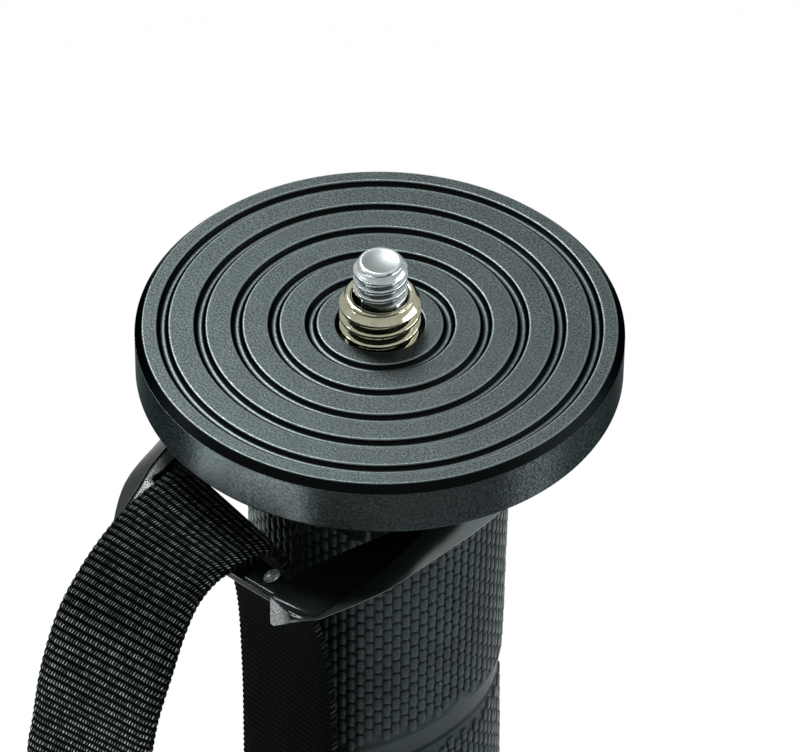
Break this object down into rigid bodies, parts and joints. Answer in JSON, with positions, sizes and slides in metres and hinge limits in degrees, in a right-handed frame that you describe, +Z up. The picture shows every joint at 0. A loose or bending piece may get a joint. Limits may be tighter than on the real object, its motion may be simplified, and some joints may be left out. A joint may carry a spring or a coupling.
{
  "type": "camera monopod",
  "caption": "Telescoping camera monopod with a round grooved plate, a sprung pin inside a hollow threaded stud, rubber grip, wrist strap on a yoke, flip-lever leg locks and a rubber foot.",
  "frame": {"origin": "centre of the camera plate's top face, on the axis of the camera screw", "axes": "+Z up along the tube, out of the camera plate; the wrist strap hangs in front, at -Y; the lock levers are at +X"},
  "size_m": [0.057, 0.0843, 0.6749],
  "materials": {
    "plate_black": "black fine-textured coating on aluminium",
    "screw_steel": "plain zinc-plated steel",
    "stud_nickel": "bright warm nickel plating, turned thread",
    "pin_steel": "bright turned steel",
    "spring_steel": "drawn spring wire",
    "neck_alloy": "cast alloy",
    "yoke_plastic": "black moulded plastic, fine grain",
    "strap_webbing": "black ribbed nylon webbing",
    "grip_rubber": "black rubber with raised blocks",
    "tube_black": "black anodised tube",
    "guide_plastic": "off-white bearing plastic",
    "lock_plastic": "black glass-filled nylon",
    "lever_plastic": "black satin nylon",
    "foot_plastic": "dark moulded plastic",
    "foot_rubber": "matt black rubber"
  },
  "bodies": {
    "upper_section": {"camera_plate": "plate_black", "plate_screws": "screw_steel", "large_stud": "stud_nickel", "pin_spring": "spring_steel", "spring_plug": "screw_steel", "neck_plug": "neck_alloy", "neck_screws": "screw_steel", "strap_yoke": "yoke_plastic", "strap": "strap_webbing", "grip": "grip_rubber", "upper_tube": "tube_black", "upper_collar": "lock_plastic", "upper_collar_screws": "screw_steel", "upper_shim": "guide_plastic", "upper_eye_bolt": "screw_steel", "upper_bolt_nut": "screw_steel"},
    "camera_pin": {"small_pin": "pin_steel"},
    "upper_lock_lever": {"upper_lever": "lever_plastic", "upper_lever_pin": "screw_steel"},
    "middle_section": {"middle_tube": "tube_black", "middle_guide": "guide_plastic", "lower_collar": "lock_plastic", "lower_collar_screws": "screw_steel", "lower_shim": "guide_plastic", "lower_eye_bolt": "screw_steel", "lower_bolt_nut": "screw_steel"},
    "lower_lock_lever": {"lower_lever": "lever_plastic", "lower_lever_pin": "screw_steel"},
    "lower_section": {"lower_tube": "tube_black", "lower_guide": "guide_plastic", "foot_plug": "foot_plastic", "rubber_foot": "foot_rubber"}
  },
  "joints": [
    {"name": "pin_press", "type": "slide", "parent": "upper_section", "child": "camera_pin", "axis": [0, 0, -1], "range_m": [0, 0.0074], "stiffness_N_per_m": 600, "springref_m": -0.004, "deforming": ["pin_spring"]},
    {"name": "upper_lever_swing", "type": "hinge", "parent": "upper_section", "child": "upper_lock_lever", "pos_m": [0.0212, 0.01334, -0.581], "axis": [0, 0, -1], "range_deg": [0, 110]},
    {"name": "middle_slide", "type": "slide", "parent": "upper_section", "child": "middle_section", "axis": [0, 0, -1], "range_m": [0, 0.48]},
    {"name": "lower_lever_swing", "type": "hinge", "parent": "middle_section", "child": "lower_lock_lever", "pos_m": [0.0192, 0.01334, -0.619], "axis": [0, 0, -1], "range_deg": [0, 110]},
    {"name": "lower_slide", "type": "slide", "parent": "middle_section", "child": "lower_section", "axis": [0, 0, -1], "range_m": [0, 0.5]}
  ]
}
